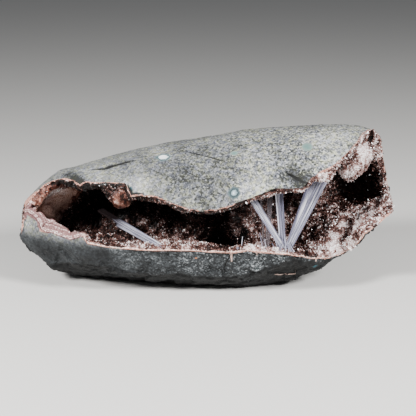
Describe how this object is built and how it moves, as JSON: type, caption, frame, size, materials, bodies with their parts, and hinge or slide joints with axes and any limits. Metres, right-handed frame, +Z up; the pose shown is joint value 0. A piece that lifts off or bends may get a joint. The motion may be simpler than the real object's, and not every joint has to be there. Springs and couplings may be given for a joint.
{
  "type": "scolecite geode",
  "caption": "Long basalt nodule broken open along its front and one end, its hollow lined with heulandite druse and crossed by flat scolecite sprays.",
  "frame": {"origin": "on the surface that the geode rests on, under the middle of its box", "axes": "+Z up, +X along the nodule towards its open end, -Y out of the mouth"},
  "size_m": [0.2332, 0.1032, 0.0963],
  "materials": {
    "basalt": "fine-grained, matt, weathered smooth on top and freshly broken below",
    "heulandite": "sparkling druse of small translucent crystals, brown in the hollow and pink-white on the rim",
    "scolecite": "vitreous, striated along the blades, clear to milky"
  },
  "bodies": {
    "root": {"basalt_host": "basalt", "heulandite_crust": "heulandite", "scolecite_spray": "scolecite", "scolecite_left_blade": "scolecite", "scolecite_back_pair": "scolecite", "scolecite_shadow_blade": "scolecite"}
  },
  "joints": []
}
